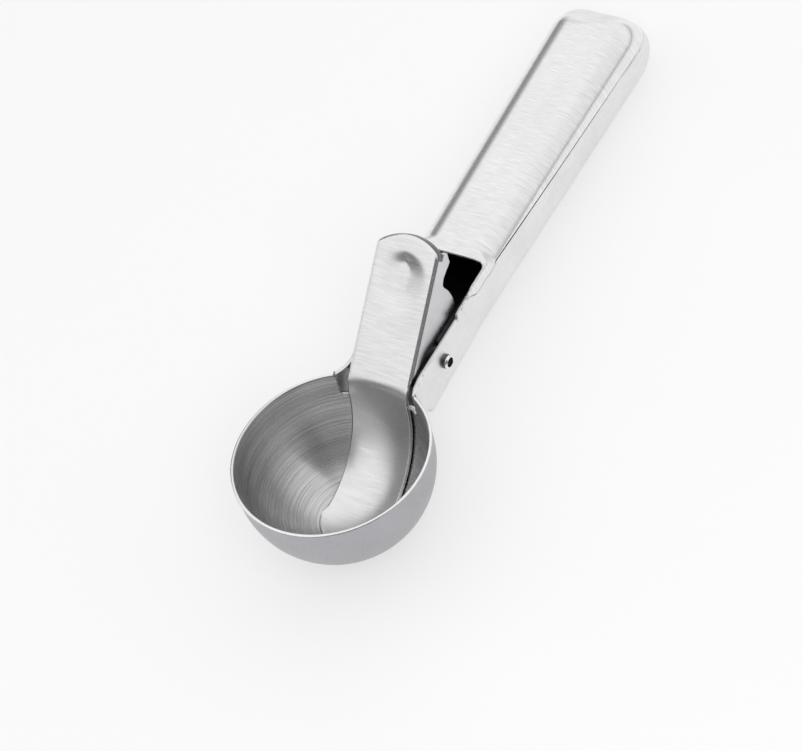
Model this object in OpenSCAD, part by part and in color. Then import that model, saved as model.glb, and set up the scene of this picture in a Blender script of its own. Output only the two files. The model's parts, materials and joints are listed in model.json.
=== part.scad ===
// Lever ice cream scoop.
// The bowl's rim lies in the plane z = 0 of the working frame, centred on the origin.
// The handle runs along +X and the open side of the bowl faces +Z.
// Every piece is then laid down by at_rest(), so that the bowl and the handle's end touch the table.

/* [Bowl] */
// Outer radius of the bowl at its rim
bowl_r = 27.5; // [26:0.5:30]
// Thickness of the bowl's sheet
bowl_wall = 1.0; // [0.8:0.1:1.4]
// Height of the plain band between the rim and the round bottom
band_h = 3.7; // [2.5:0.1:5]
// How much narrower the round bottom is than the rim
rim_flare = 0.5; // [0.2:0.1:0.8]
// Depth of the notch in the rim that the blade comes out of
notch_depth = 7; // [6:0.5:8]
// Gap between the notch and each edge of the blade
notch_gap = 2.8; // [2:0.1:3.2]

/* [Handle] */
// Length of the handle from the bowl's rim to its end
handle_length = 132; // [110:0.5:150]
// Outer width of the neck, across its two cheeks
neck_w = 24; // [23.6:0.1:25]
// How much closer to the middle each cheek is at the bowl
neck_pinch = 1.0; // [0.8:0.1:1.1]
// How much wider the grip is at its far end
grip_taper = 2.6; // [0:0.2:5]
// Height of the grip's front face over the rim plane where the grip begins
front_rise = 4.0; // [3:0.5:5]
// How much higher the front face is at the far end
front_slope = 1.3; // [0:0.1:2]
// Depth of the grip's back below the rim plane where the grip begins
back_drop = 15; // [14:0.5:17]
// How much deeper the neck is at the bowl than the grip
neck_deepening = 1.8; // [1:0.2:2.4]
// Radius of the grip's long corners
grip_corner = 6.3; // [5:0.1:7]
// Length over which the closed far end rounds in
end_round = 10.5; // [8:0.5:11.5]
// How far the front face comes down at the far end
end_front = 9.5; // [8:0.5:10]
// How far the back comes up at the far end
end_back = 4.5; // [3:0.5:5.5]
// How far each side comes in at the far end
end_side = 4.6; // [3:0.2:6]
// Thickness of the handle's sheet
handle_wall = 1.0; // [0.8:0.1:1.2]
// How far each cheek bends outward to meet the bowl
cheek_flare = 1.6; // [1:0.1:2]
// Height of the cheeks' edge over the rim plane
cheek_rise = 1.3; // [1:0.1:1.6]
// Height of the step in the cheeks' edge, where the window begins
cheek_step = 0.9; // [0.5:0.1:1.2]

/* [Window] */
// How much narrower the window is than the neck
window_frame = 1.2; // [1:0.1:1.6]
// Distance from the bowl's rim to the window's far edge
window_far = 40.2; // [39.5:0.1:44]
// Radius of the window's far corners
window_corner = 1.0; // [0.8:0.1:3]

/* [Lever] */
// Gap between each side of the thumb pad and the inside of the cheek
pad_gap = 1.4; // [1.2:0.1:1.6]
// Length of the thumb pad from the bend to its tip
pad_length = 39.6; // [37:0.2:40]
// Angle of the thumb pad over the rim plane
pad_angle = 39; // [35:0.5:40]
// Radius of the pad's round tip, seen from above
pad_tip_r = 14.2; // [13:0.1:16]
// Thickness of the lever's sheet
lever_t = 1.0; // [0.8:0.1:1.1]
// Depth of the dimple under the thumb
dimple_depth = 1.1; // [0.5:0.1:1.4]
// Radius of the bend between the pad and the blade
bend_r = 3.5; // [3:0.1:4]
// How much narrower the ejector blade is than the thumb pad
blade_narrowing = 0.6; // [0.4:0.1:2]
// Radius of the blade's round nose, seen from above
nose_r = 10.1; // [9.8:0.1:10.5]
// Gap between the blade and the inside of the bowl
blade_gap = 0.35; // [0.3:0.05:0.8]
// Gap between the lever's pivot ears and each cheek
ear_gap = 2.4; // [2.3:0.1:2.6]
// Radius of the round ears at the pivot
ear_r = 4.2; // [3.8:0.1:4.6]
// How far the lever turns when it is squeezed, in degrees
press_angle = 32; // [20:1:32]

/* [Pivot] */
// Distance of the pivot from the bowl's rim
pivot_out = 12.6; // [12:0.1:13.5]
// Depth of the pivot below the rim plane
pivot_drop = 4.6; // [4:0.1:5.5]
// Outer diameter of the hollow pivot pin
pin_d = 4.0; // [3.6:0.1:4.4]
// Bore of the hollow pivot pin
pin_bore = 2.6; // [2:0.1:2.8]
// How far the pin stands out of each cheek
pin_proud = 1.6; // [1:0.1:2.5]
// Radial running clearance of the lever and the bush on the pin
running_gap = 0.05; // [0.03:0.01:0.08]
// Wall of the bush that carries the spring
bush_wall = 0.7; // [0.5:0.1:0.9]
// Wall of the washers between the ears and the cheeks
washer_wall = 1.7; // [1.2:0.1:2]
// Play of each washer between its ear and its cheek, on each side
washer_play = 0.1; // [0.05:0.05:0.2]

/* [Spring] */
// Wire diameter of the torsion spring
wire_d = 1.0; // [0.8:0.1:1.1]
// Number of turns of the torsion spring
spring_turns = 7; // [5:1:9]
// Gap between the spring's coil and its bush
coil_gap = 0.3; // [0.2:0.1:0.5]
// Pitch of the coil, as a share of the wire's diameter
coil_pitch = 1.3; // [1.2:0.1:1.5]

/* [Hidden] */
$fn = 96;
eps = 0.01;
far = 60;

// Bowl
ball_r = bowl_r - rim_flare;
ball_z = -band_h;

// Handle
end_x = bowl_r + handle_length;
neck_half = neck_w / 2;
window_w = neck_w - window_frame;
flare_from = bowl_r + 3.5;
flare_length = 6.5;
neck_from = bowl_r + 10.5;
grip_from = bowl_r + 38.5;
window_end = bowl_r + window_far;
step_from = bowl_r + 22.5;
cover_from = bowl_r + 28.6;
seam_from = cover_from + 4;
seam_drop = 0.25;
seam_slope = 0.021;

// Pivot
pivot_x = bowl_r + pivot_out;
pivot_z = -pivot_drop;
cheek_inner = neck_half - handle_wall;
pad_half = cheek_inner - pad_gap;
blade_half = pad_half - blade_narrowing / 2;
notch_half = blade_half + notch_gap;
ear_outer = cheek_inner - ear_gap;
ear_inner = ear_outer - lever_t;
bush_r = pin_d / 2 + running_gap;

// Lever: a strip that follows the bowl as the blade, bends over the notch and rises as the pad
blade_r = ball_r - bowl_wall - blade_gap - lever_t / 2;
nose_angle = -90 - asin(nose_r / blade_r) + 0.5;
blade_length = blade_r * PI / 180 * -nose_angle;
bend_turn = 90 - pad_angle;
bend_length = bend_r * PI / 180 * bend_turn;
bend_end = [blade_r + bend_r * (1 - sin(pad_angle)), ball_z + bend_r * cos(pad_angle)];
strip_length = blade_length + bend_length + pad_length;

function clamp01(t) = min(1, max(0, t));
function smooth(t) = let (u = clamp01(t)) u * u * (3 - 2 * u);
function mix(a, b, t) = a + (b - a) * t;

// ---- the handle's section, as functions of the distance x from the bowl's centre ----

function grip_share(x) = clamp01((x - grip_from) / (end_x - end_round - grip_from));
function neck_share(x) = clamp01((seam_from - x) / (seam_from - bowl_r));
function cheek_bend(x) = cheek_flare * pow(max(0, flare_from - x) / flare_length, 2);

function pinch(x) = smooth((neck_from - x) / 8);

function section_half(x) = neck_half + cheek_bend(x) - neck_pinch * pinch(x) + grip_taper / 2 * grip_share(x);
function section_top(x) = front_rise + front_slope * grip_share(x);
function section_bottom(x) = -back_drop - neck_deepening * pinch(x) + 0.3 * grip_share(x);
function front_corner(x) = mix(1.6, grip_corner, smooth((x - window_end) / corner_run));

// Height of the window's side edge, which rises from the step in the cheeks to the front of the handle
function edge_z(x) = mix(cheek_rise + cheek_step, front_rise, (x - step_from) / (window_end - 1 - step_from));
function back_corner(x) = grip_corner - 3.7 * neck_share(x);

// Height of the cheeks' upper edge, which comes down to the rim at the bowl
function cheek_edge(x) = cheek_rise - 1.5 * pinch(x);

// How far the section has drawn in at the rounded far end: 0 before it, 1 at the end face
function end_share(x, inset) =
    let (d = max(0, x - end_x + end_round) / (end_round - inset)) 1 - sqrt(max(0, 1 - d * d));

corner_run = 6.5;
corner_steps = 7;
function corner(cy, cz, r, a0) =
    [for (i = [0:corner_steps]) let (a = a0 + 90 * i / corner_steps) [cy + r * cos(a), cz + r * sin(a)]];

// One ring of the handle's skin, inset by the sheet's thickness for the inner skin
function section_ring(x, inset) =
    let (k = end_share(x, inset),
         softened = inset + 0.3 * k * end_side,
         a = section_half(x) - inset - k * (end_side - inset),
         top = section_top(x) - inset - k * (end_front - inset),
         bottom = section_bottom(x) + inset + k * (end_back - inset),
         tight = min(a, (top - bottom) / 2) - eps,
         rf = min(tight, max(0.4, front_corner(x) - softened)),
         rb = min(tight, max(0.4, back_corner(x) - softened)))
    [for (p = concat(corner(a - rf, top - rf, rf, 0), corner(rf - a, top - rf, rf, 90),
                     corner(rb - a, bottom + rb, rb, 180), corner(a - rb, bottom + rb, rb, 270)))
        [x, p.x, p.y]];

function skin_stations(start, inset) =
    let (dome = end_x - end_round, r = end_round - inset)
    concat([for (x = [start:1.5:neck_from]) x],
           [for (x = [neck_from + 2:5:window_end - 3]) x],
           [for (i = [0:5]) window_end + corner_run * i / 5],
           [for (i = [1:3]) mix(window_end + corner_run, dome, i / 3)],
           [for (i = [1:8]) dome + r * sin(90 * i / 8)]);

// A closed skin through rings of points
module skin(rings) {
    n = len(rings[0]);
    m = len(rings);
    points = [for (ring = rings) for (p = ring) p];
    sides = [for (i = [0:m - 2]) for (j = [0:n - 1])
        let (a = i * n + j, b = i * n + (j + 1) % n) each [[a, a + n, b], [b, a + n, b + n]]];
    start_cap = [for (j = [0:n / 2 - 2]) each [[j, j + 1, n - 2 - j], [j, n - 2 - j, n - 1 - j]]];
    end_cap = [for (f = start_cap) [for (k = [2, 1, 0]) (m - 1) * n + f[k]]];
    polyhedron(points, concat(sides, start_cap, end_cap));
}

module handle_skin(start, inset) {
    skin([for (x = skin_stations(start, inset)) section_ring(x, inset)]);
}

// An outline in X and Z, extruded across the whole handle
module side_profile(points) {
    rotate([90, 0, 0])
        linear_extrude(height = far, center = true)
            polygon(points);
}

module across(x, z, r, length) {
    translate([x, 0, z])
        rotate([90, 0, 0])
            cylinder(r = r, h = length, center = true);
}

// ---- the pieces ----

// The bowl's outside, with room above it, which the cheeks are cut to
module bowl_outside(above = 0) {
    translate([0, 0, ball_z])
        sphere(r = ball_r);
    translate([0, 0, ball_z])
        cylinder(r1 = ball_r, r2 = bowl_r, h = band_h);
    if (above > 0)
        translate([0, 0, -eps])
            cylinder(r = bowl_r, h = above);
}

function bowl_arc(r) =
    [for (i = [0:24]) let (a = -90 + 90 * i / 24) [i == 0 ? 0 : r * cos(a), ball_z + r * sin(a)]];

module bowl() {
    inner = bowl_arc(ball_r - bowl_wall);
    color("gainsboro")
    difference() {
        rotate_extrude()
            polygon(concat(bowl_arc(ball_r), [[bowl_r, 0], [bowl_r - bowl_wall, 0]],
                           [for (i = [24:-1:0]) inner[i]]));
        translate([0, -notch_half, -notch_depth])
            cube([far, 2 * notch_half, far]);
    }
}

// The back of the handle: a trough whose two sides run on as the cheeks of the neck
module handle_channel() {
    seam_z = -seam_drop - seam_slope * (end_x - seam_from);
    step_z = cheek_rise + cheek_step;
    low = -far;
    color("silver")
    difference() {
        intersection() {
            difference() {
                handle_skin(bowl_r - 9.5, 0);
                handle_skin(bowl_r - 10.5, handle_wall);
            }
            side_profile([
                [bowl_r - 9, -9.5], [bowl_r - 9, 0], [bowl_r - 2.5, 0.1], [bowl_r + 0.8, cheek_edge(bowl_r)],
                each [for (x = [bowl_r + 2.5:2:neck_from]) [x, cheek_edge(x)]],
                [step_from, cheek_rise], [step_from, step_z], [cover_from, edge_z(cover_from)],
                [seam_from, -seam_drop], [end_x + 1, seam_z],
                [end_x + 1, low], [bowl_r + 3.5, low], [bowl_r + 3.4, -16.4],
                [bowl_r + 2.8, -14.2], [bowl_r + 1.6, -12.3], [bowl_r - 0.6, -11.0]]);
        }
        bowl_outside(above = 10);
        across(pivot_x, pivot_z, pin_d / 2, far);
    }
}

// The front of the handle: a shell that closes the trough, with the window at the lever
module handle_cover() {
    seam_z = -seam_drop - seam_slope * (end_x - seam_from);
    color("whitesmoke")
    difference() {
        intersection() {
            difference() {
                handle_skin(cover_from - 5, 0);
                handle_skin(cover_from - 6, handle_wall);
            }
            side_profile([[cover_from, edge_z(cover_from)], [seam_from, -seam_drop], [end_x + 1, seam_z],
                          [end_x + 1, edge_z(end_x + 1)]]);
        }
        window();
    }
}

module window() {
    half = window_w / 2;
    r = window_corner;
    translate([0, 0, front_rise - 1.6])
        linear_extrude(height = far)
            union() {
                translate([0, -half])
                    square([window_end - r, 2 * half]);
                translate([0, r - half])
                    square([window_end, 2 * (half - r)]);
                for (side = [-1, 1])
                    translate([window_end - r, side * (half - r)])
                        circle(r = r, $fn = 48);
            }
}

// Middle line of the lever's strip: [x, z, direction in degrees] at a distance s from the nose
function strip_line(s) =
    s < blade_length
    ? let (a = nose_angle + s / blade_r * 180 / PI)
        [blade_r * cos(a), ball_z + blade_r * sin(a), a + 90]
    : s < blade_length + bend_length
    ? let (d = 90 - (s - blade_length) / bend_r * 180 / PI)
        [blade_r + bend_r * (1 - sin(d)), ball_z + bend_r * cos(d), d]
    : let (t = s - blade_length - bend_length)
        [bend_end.x + t * cos(pad_angle), bend_end.y + t * sin(pad_angle), pad_angle];

// Half the strip's width: a round nose, a straight blade, and a pad with a round tip
function strip_half(s) =
    let (x = strip_line(s).x, t = s - strip_length + pad_tip_r,
         nose = sqrt(max(0.3, nose_r * nose_r - x * x)),
         tip = sqrt(max(0.3, pad_tip_r * pad_tip_r - max(0, t) * max(0, t))))
    s < blade_length && x < -2.2 ? nose
    : s < blade_length ? mix(nose_r - 0.25, blade_half, clamp01((x + 2.2) / 2.6))
    : min(tip, mix(blade_half, pad_half, clamp01((s - blade_length) / bend_length)));

// How far the strip is dished across: with the ball up to the notch, flat on the pad
flatten_over = notch_depth - band_h - 0.5;
function strip_dish(s, y) =
    let (fade = 1 - smooth((s - blade_length + flatten_over) / (flatten_over + bend_length)))
    fade * (blade_r - sqrt(blade_r * blade_r - y * y));

// Depth of the thumb dimple: a steep edge towards the tip and a long fade towards the bend
function dimple(s, y) =
    let (t = s - (strip_length - dimple_from_tip), along = t > 0 ? t / dimple_up : t / dimple_down,
         r = norm([along, y / dimple_side]))
    r < 1 ? dimple_depth * pow(cos(90 * r), 1.2) : 0;

lateral_steps = 10;
function strip_point(s, y, lift) =
    let (m = strip_line(s), n = lift + strip_dish(s, y) - dimple(s, y))
    [m.x - sin(m[2]) * n, y, m.y + cos(m[2]) * n];
function strip_ring(s) =
    let (half = strip_half(s), ys = [for (i = [0:lateral_steps]) mix(half, -half, i / lateral_steps)])
    concat([for (y = ys) strip_point(s, y, lever_t / 2)],
           [for (i = [lateral_steps:-1:0]) strip_point(s, ys[i], -lever_t / 2)]);

nose_span = nose_r - 2.2;
dimple_from_tip = 11.6;
dimple_up = 7.2;
dimple_down = 11.5;
dimple_side = 7.6;
fine_from = strip_length - dimple_from_tip - dimple_down;
strip_stations = concat(
    [for (i = [0:6]) nose_span * (1 - cos(90 * i / 7))],
    [for (i = [0:16]) mix(nose_span, blade_length, i / 16)],
    [for (i = [1:5]) blade_length + bend_length * i / 5],
    [for (i = [1:5]) mix(strip_length - pad_length, fine_from, i / 5)],
    [for (i = [1:9]) mix(fine_from, strip_length - pad_tip_r / 2, i / 9)],
    [for (i = [1:8]) strip_length - pad_tip_r / 2 * (1 - sin(90 * i / 8))]);

// A point of a side flange, given along the pad and below it
function on_pad(t, below) =
    [bend_end.x + t * cos(pad_angle) + below * sin(pad_angle),
     bend_end.y + t * sin(pad_angle) - below * cos(pad_angle)];

module flange_outline() {
    lobe_x = bend_end.x + 24;
    lobe_z = 5.4;
    lobe_r = 3.6;
    union() {
        polygon([on_pad(1.5, 0.2), on_pad(pad_length - 6.3, 0.2), on_pad(pad_length - 4.2, 2.4),
                 on_pad(pad_length - 3.7, 4.8), on_pad(pad_length - 4.6, 6.4), on_pad(pad_length - 6.8, 7.1),
                 on_pad(pad_length - 9.4, 6.7), on_pad(pad_length - 11.4, 7.3),
                 [lobe_x, lobe_z], [lobe_x + 0.5, lobe_z - lobe_r], [bend_end.x + 2.6, 0.5]]);
        translate([lobe_x, lobe_z])
            circle(r = lobe_r, $fn = 48);
    }
}

module flange(y) {
    translate([0, y, 0])
        rotate([90, 0, 0])
            linear_extrude(height = lever_t)
                flange_outline();
}

// The ears stand inside the flanges, joined to them along the pad
module ear(y) {
    translate([0, y, 0])
        rotate([90, 0, 0])
            linear_extrude(height = lever_t + eps)
                union() {
                    polygon([on_pad(4.5, 0.3), on_pad(16, 0.3), on_pad(15.5, 5), [pivot_x + ear_r, pivot_z],
                             [pivot_x - ear_r, pivot_z]]);
                    translate([pivot_x, pivot_z])
                        circle(r = ear_r, $fn = 64);
                }
}

// Thumb pad, side flanges, pivot ears and ejector blade, pressed from one sheet
module thumb_lever() {
    color("lightgray")
    difference() {
        union() {
            skin([for (s = strip_stations) strip_ring(s)]);
            flange(pad_half);
            flange(lever_t - pad_half);
            ear(ear_outer + eps);
            ear(-ear_inner);
        }
        across(pivot_x, pivot_z, pin_d / 2 + running_gap, far);
    }
}

module pivot_pin() {
    length = neck_w + 2 * pin_proud;
    color("dimgray")
    difference() {
        across(pivot_x, pivot_z, pin_d / 2, length);
        across(pivot_x, pivot_z, pin_bore / 2, length + 1);
    }
}

module pivot_bush() {
    length = 2 * (ear_inner - washer_play);
    color("slategray")
    difference() {
        across(pivot_x, pivot_z, bush_r + bush_wall, length);
        across(pivot_x, pivot_z, bush_r, length + 1);
    }
}

module pivot_washers() {
    thick = ear_gap - 2 * washer_play;
    middle = (cheek_inner + ear_outer) / 2;
    color("darkgray")
    for (side = [-1, 1])
        translate([0, side * middle, 0])
            difference() {
                across(pivot_x, pivot_z, bush_r + washer_wall, thick);
                across(pivot_x, pivot_z, bush_r, thick + 1);
            }
}

// The spring's wire: one leg up under the pad, the coil round the bush, one leg down in the trough
coil_r = bush_r + bush_wall + coil_gap + wire_d / 2;
coil_half = spring_turns * coil_pitch * wire_d / 2;
coil_steps = 20;
up_angle = 74;
down_angle = -45;
coil_start = up_angle - 90;
coil_turn = 360 * spring_turns + coil_start - 90 - down_angle;
coil_count = round(coil_turn / 360 * coil_steps);
coil_path = [for (i = [0:coil_count])
    let (a = coil_start - coil_turn * i / coil_count)
    [pivot_x + coil_r * cos(a), mix(-coil_half, coil_half, i / coil_count), pivot_z + coil_r * sin(a)]];
first = coil_path[0];
last = coil_path[coil_count];

// Each leg ends just short of the sheet that it presses on; the upper one meets the dimple
leg_gap = 0.3;
leg_reach = wire_d / 2 + leg_gap;
under_pad = (first.x - bend_end.x) * sin(pad_angle) - (first.z - bend_end.y) * cos(pad_angle);
leg_up = (under_pad - lever_t / 2 - leg_reach - 0.6 * dimple_depth) / sin(up_angle - pad_angle);
leg_down = (last.z + back_drop - handle_wall - leg_reach) / -sin(down_angle);
spring_path = concat(
    [first + leg_up * [cos(up_angle), 0, sin(up_angle)]],
    coil_path,
    [last + leg_down * [cos(down_angle), 0, sin(down_angle)]]);

wire_sides = 8;
function unit(v) = v / norm(v);
function wire_ring(path, i) =
    let (n = len(path), t = unit(path[min(n - 1, i + 1)] - path[max(0, i - 1)]),
         side = unit(cross(t, [0, 1, 0])), up = cross(t, side))
    [for (k = [0:wire_sides - 1]) let (a = 360 * k / wire_sides)
        path[i] + wire_d / 2 * (cos(a) * side + sin(a) * up)];

module torsion_spring() {
    color("gray")
        skin([for (i = [0:len(spring_path) - 1]) wire_ring(spring_path, i)]);
}

// ---- the resting pose ----

// The tilt at which the handle's end comes down to the level of the bowl's bottom
resting_points = [for (x = skin_stations(grip_from, 0)) if (x > grip_from) [x, section_ring(x, 0)[3 * corner_steps + 2].z]];
tilt = min([for (p = resting_points)
    let (d = p - [0, ball_z]) atan2(d.y, d.x) + asin(ball_r / norm(d))]);
bowl_min = ball_z * sin(tilt) - ball_r;
handle_max = max([for (x = skin_stations(grip_from, 0)) for (p = section_ring(x, 0)) p.x * cos(tilt) + p.z * sin(tilt)]);

module at_rest() {
    translate([-(bowl_min + handle_max) / 2, 0, ball_r - ball_z * cos(tilt)])
        rotate([0, tilt, 0])
            children();
}

echo(tilt = tilt, shift = -(bowl_min + handle_max) / 2, lift = ball_r - ball_z * cos(tilt), end = handle_max, low = bowl_min);

at_rest() bowl();
at_rest() handle_channel();
at_rest() handle_cover();
at_rest() thumb_lever();
at_rest() pivot_pin();
at_rest() pivot_bush();
at_rest() pivot_washers();
at_rest() torsion_spring();
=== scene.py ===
# %% [markdown]
# # A lever ice cream scoop, in pressed stainless steel
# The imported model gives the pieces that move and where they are. This lesson dresses them: each pressing is
# made again as a sheet of real thickness, with rounded edges and a brushed finish. Everything is drawn in
# millimetres in the scoop's own frame, where the bowl's rim is level and the handle runs along X. One function
# then lays it down on the table and turns it to metres.

# %% Load the frame
import json
import math

import bpy
import bmesh
from mathutils import Matrix, Vector

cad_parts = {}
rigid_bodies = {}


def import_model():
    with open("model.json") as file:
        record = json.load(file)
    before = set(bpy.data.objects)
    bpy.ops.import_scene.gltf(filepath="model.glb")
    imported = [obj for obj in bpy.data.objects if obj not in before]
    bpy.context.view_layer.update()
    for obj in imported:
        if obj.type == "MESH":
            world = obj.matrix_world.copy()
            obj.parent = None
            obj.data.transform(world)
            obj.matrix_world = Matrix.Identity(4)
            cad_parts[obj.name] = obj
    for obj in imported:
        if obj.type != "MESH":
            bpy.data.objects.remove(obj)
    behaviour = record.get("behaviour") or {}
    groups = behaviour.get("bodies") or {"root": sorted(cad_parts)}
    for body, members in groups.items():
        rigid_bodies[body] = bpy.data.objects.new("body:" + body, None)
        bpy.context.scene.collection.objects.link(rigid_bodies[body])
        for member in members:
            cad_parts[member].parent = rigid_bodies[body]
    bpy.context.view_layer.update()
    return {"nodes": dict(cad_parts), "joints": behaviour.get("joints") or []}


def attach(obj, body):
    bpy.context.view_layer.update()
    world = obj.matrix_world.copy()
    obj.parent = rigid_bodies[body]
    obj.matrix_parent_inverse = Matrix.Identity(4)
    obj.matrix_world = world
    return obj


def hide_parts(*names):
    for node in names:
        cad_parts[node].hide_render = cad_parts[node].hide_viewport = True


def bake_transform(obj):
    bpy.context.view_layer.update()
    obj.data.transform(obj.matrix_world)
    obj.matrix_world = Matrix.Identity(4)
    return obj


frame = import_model()

# %% [markdown]
# ## The sizes of the scoop
# These are shared by several pieces, as on a workshop drawing, and the rest come where they are first needed.
# They are the sizes of the solids, so that each dressed piece lies where its solid is. Only the roundings of
# the grip and of the window are a little softer than in the solids, because that is how a pressed corner looks.

# %% Sizes in millimetres
SHEET = 1.0  # thickness of every pressing
BOWL_R = 27.5  # outside of the rim
RIM_FLARE = 0.5  # the round bottom is this much narrower than the rim
BAND_H = 3.7  # plain band under the rim
HANDLE_LENGTH = 132.0
NECK_W = 24.0
LEVER_GAP = 1.4  # between the lever and each cheek
PIVOT_OUT = 12.6  # from the rim along the handle
PIVOT_DROP = 4.6  # below the rim

BALL_R = BOWL_R - RIM_FLARE
BALL_Z = -BAND_H
END_X = BOWL_R + HANDLE_LENGTH
NECK_HALF = NECK_W / 2
PAD_HALF = NECK_HALF - SHEET - LEVER_GAP
BLADE_HALF = PAD_HALF - 0.3
PIVOT = (BOWL_R + PIVOT_OUT, -PIVOT_DROP)
print("over all, mm:", BOWL_R + END_X)

# %% [markdown]
# ## Laying it down
# The scoop rests on the bowl's round bottom and on the handle's far end, which tips it by about six degrees.
# The hinge is known in both frames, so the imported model's own joint shows that the shift is right.

# %% From the scoop's frame to the table
REST_TILT = math.radians(6.13738)
REST_SHIFT = Vector((-65.3706, 0.0, 30.6788))
TO_TABLE = Matrix.Translation(REST_SHIFT / 1000) @ Matrix.Rotation(REST_TILT, 4, "Y") @ Matrix.Scale(0.001, 4)


def at_rest(point):
    """A point in the scoop's frame, in mm, as a point on the table, in metres."""
    return TO_TABLE @ Vector(point)


hinge = frame["joints"][0]
print("hinge off by, mm:", (at_rest((PIVOT[0], 0, PIVOT[1])) - Vector(hinge["pos_m"])).length * 1000)

# %% [markdown]
# ## A sheet-metal worker's tool
# A pressing starts as a flat blank with an outline, and is then bent. So one function takes a grid of blank
# coordinates, trims it to an outline given as a signed distance, bends what is left into place, and gives it
# the sheet's thickness and rounded edges. Trimming in the blank keeps every cut edge smooth, with no boolean.

# %% Numbers between numbers
def mix(a, b, t):
    return a + (b - a) * t


def clamp01(t):
    return min(1.0, max(0.0, t))


def smooth(t):
    t = clamp01(t)
    return t * t * (3 - 2 * t)


def spread(a, b, step):
    """Numbers from a to b, about a step apart."""
    n = max(1, round(abs(b - a) / step))
    return [mix(a, b, i / n) for i in range(n + 1)]


def outline_distance(polygon, x, y):
    """Distance from (x, y) to a closed outline, positive inside."""
    nearest = 1e9
    inside = False
    for (ax, ay), (bx, by) in zip(polygon, polygon[1:] + polygon[:1]):
        ex, ey = bx - ax, by - ay
        t = clamp01(((x - ax) * ex + (y - ay) * ey) / (ex * ex + ey * ey))
        nearest = min(nearest, math.hypot(x - ax - t * ex, y - ay - t * ey))
        if (ay > y) != (by > y) and x < ax + (y - ay) / (by - ay) * ex:
            inside = not inside
    return nearest if inside else -nearest


# %% Trim, bend and thicken
SNAP = 0.22  # share of a cell


def trimmed_blank(us, vs, keep):
    """Cells of a grid cut to keep(u, v) >= 0: a list of (u, v) points and a list of faces."""
    nv = len(vs)
    points = [(u, v) for u in us for v in vs]
    value = [keep(u, v) for u, v in points]

    def crossing(a, b):
        lo, hi = (a, b) if value[a] >= 0 else (b, a)
        p, q = points[lo], points[hi]
        t0, t1 = 0.0, 1.0
        for _ in range(12):
            t = (t0 + t1) / 2
            if keep(mix(p[0], q[0], t), mix(p[1], q[1], t)) >= 0:
                t0 = t
            else:
                t1 = t
        return (mix(p[0], q[0], t0), mix(p[1], q[1], t0)), (t0 if lo == a else 1 - t0)

    # a corner very near the cut is moved onto it, so that no sliver is left
    for i in range(len(us)):
        for j in range(nv):
            a = i * nv + j
            for b in ([a + nv] if i + 1 < len(us) else []) + ([a + 1] if j + 1 < nv else []):
                if (value[a] >= 0) != (value[b] >= 0):
                    where, t = crossing(a, b)
                    end = a if t < SNAP else b if t > 1 - SNAP else None
                    if end is not None:
                        points[end] = where
                        value[end] = 0.0
    cuts = {}
    faces = []
    for i in range(len(us) - 1):
        for j in range(nv - 1):
            cell = [i * nv + j, (i + 1) * nv + j, (i + 1) * nv + j + 1, i * nv + j + 1]
            if max(value[c] for c in cell) <= 0:
                continue
            face = []
            for a, b in zip(cell, cell[1:] + cell[:1]):
                if value[a] >= 0:
                    face.append(a)
                if (value[a] > 0 and value[b] < 0) or (value[a] < 0 and value[b] > 0):
                    key = (min(a, b), max(a, b))
                    if key not in cuts:
                        cuts[key] = len(points)
                        points.append(crossing(a, b)[0])
                    face.append(cuts[key])
            if len(face) > 2:
                faces.append(face)
    return points, faces


def new_object(name, points, faces, weld=0.00002, finishes=None):
    """A mesh object from points on the table, in metres; finishes are the faces' material numbers."""
    mesh = bpy.data.meshes.new(name)
    bm = bmesh.new()
    used = sorted({i for f in faces for i in f})
    verts = {i: bm.verts.new(points[i]) for i in used}
    for k, f in enumerate(faces):
        face = bm.faces.new([verts[i] for i in f])
        face.material_index = finishes[k] if finishes else 0
    bmesh.ops.remove_doubles(bm, verts=bm.verts, dist=weld)
    bmesh.ops.dissolve_degenerate(bm, edges=bm.edges, dist=weld / 2)
    bmesh.ops.recalc_face_normals(bm, faces=bm.faces)
    bm.to_mesh(mesh)
    bm.free()
    mesh.shade_smooth()
    obj = bpy.data.objects.new(name, mesh)
    bpy.context.scene.collection.objects.link(obj)
    return obj


def pressing(name, us, vs, keep, bend, thick=SHEET, edge=0.28, far_side=0, rim=0, finish=None):
    """A piece of sheet: us and vs are blank coordinates, bend places the middle of the sheet.

    finish(u, v) gives a face's material number. On the other side of the sheet far_side is added to it, and on
    the cut edge rim.
    """
    blank, faces = trimmed_blank(us, vs, keep)
    middles = [[sum(blank[i][k] for i in face) / len(face) for k in (0, 1)] for face in faces]
    finishes = [finish(u, v) if finish else 0 for u, v in middles]
    obj = new_object(name, [at_rest(bend(u, v)) for u, v in blank], faces, finishes=finishes)
    thicken = obj.modifiers.new("sheet", "SOLIDIFY")
    thicken.thickness = thick / 1000
    thicken.offset = 0
    thicken.use_even_offset = True
    thicken.material_offset = far_side
    thicken.material_offset_rim = rim
    round_edges(obj, edge)
    return obj


def round_edges(obj, edge):
    """Rounded edges, and flats that stay flat."""
    rounding = obj.modifiers.new("edge", "BEVEL")
    rounding.width = edge / 1000
    rounding.segments = 3
    rounding.limit_method = "ANGLE"
    rounding.angle_limit = math.radians(50)
    rounding.use_clamp_overlap = False
    rounding.miter_outer = "MITER_ARC"
    flats = obj.modifiers.new("flats", "WEIGHTED_NORMAL")
    flats.keep_sharp = True


# %% [markdown]
# ## The bowl
# It is pressed and then turned on a lathe, which leaves fine rings inside. A half sphere with a hole cut by a
# boolean would also do, but the cut would be rough. A profile carried round the axis is the natural way to make
# it, and the square notch for the blade is trimmed out of that blank.

# %% The bowl
NOTCH_DEPTH = 7.0
NOTCH_HALF = BLADE_HALF + 2.8


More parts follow.
